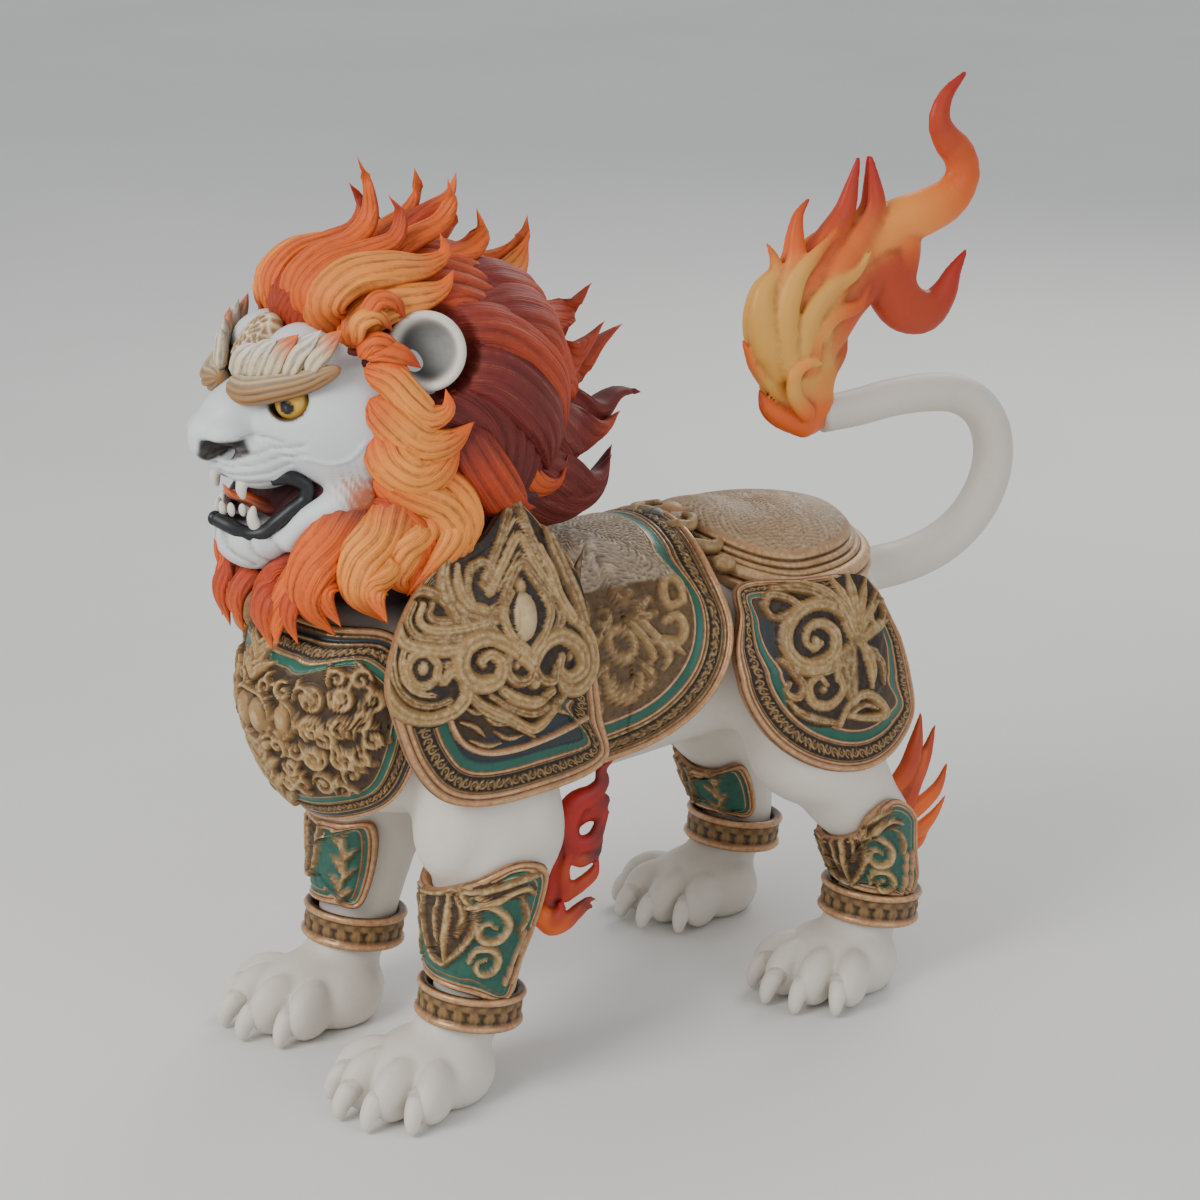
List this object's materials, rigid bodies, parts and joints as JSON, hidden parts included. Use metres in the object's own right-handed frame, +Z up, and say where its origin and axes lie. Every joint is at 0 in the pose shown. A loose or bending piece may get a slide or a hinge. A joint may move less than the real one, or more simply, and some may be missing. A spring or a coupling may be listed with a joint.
{
  "type": "guardian lion statue",
  "caption": "Standing guardian lion in relief-carved armour, with a flowing flame mane, open jaws and a raised tail that ends in a flame tuft.",
  "frame": {"origin": "on the ground, under the middle of the figure's overall width and length", "axes": "-Y towards the way the lion faces, +Y towards its tail, +X to its own left, +Z up"},
  "size_m": [0.3589, 0.9707, 0.9129],
  "materials": {
    "ivory_paint": "matte off-white paint over cast resin, slightly greyer in the hollows",
    "mane_paint": "matte orange paint shading to maroon red on the back locks, with paler tips",
    "flame_paint": "satin yellow-orange paint shading to red tips",
    "armour_paint": "antique bronze-gold paint over relief, dark in the recesses, with copper rims and green bands",
    "limb_flame_paint": "matte deep red paint shading to orange tips"
  },
  "bodies": {
    "root": {"lion_body": "ivory_paint", "mane": "mane_paint", "tail_flame": "flame_paint", "breastplate": "armour_paint", "shoulder_plate_left": "armour_paint", "shoulder_plate_right": "armour_paint", "barrel_plate": "armour_paint", "rump_plate": "armour_paint", "hip_plate_left": "armour_paint", "hip_plate_right": "armour_paint", "front_greave_left": "armour_paint", "front_greave_right": "armour_paint", "hind_greave_left": "armour_paint", "hind_greave_right": "armour_paint", "front_anklet_left": "armour_paint", "front_anklet_right": "armour_paint", "hind_anklet_left": "armour_paint", "hind_anklet_right": "armour_paint", "elbow_flame_left": "limb_flame_paint", "elbow_flame_right": "limb_flame_paint", "hock_flame_left": "limb_flame_paint", "hock_flame_right": "limb_flame_paint"}
  },
  "joints": []
}
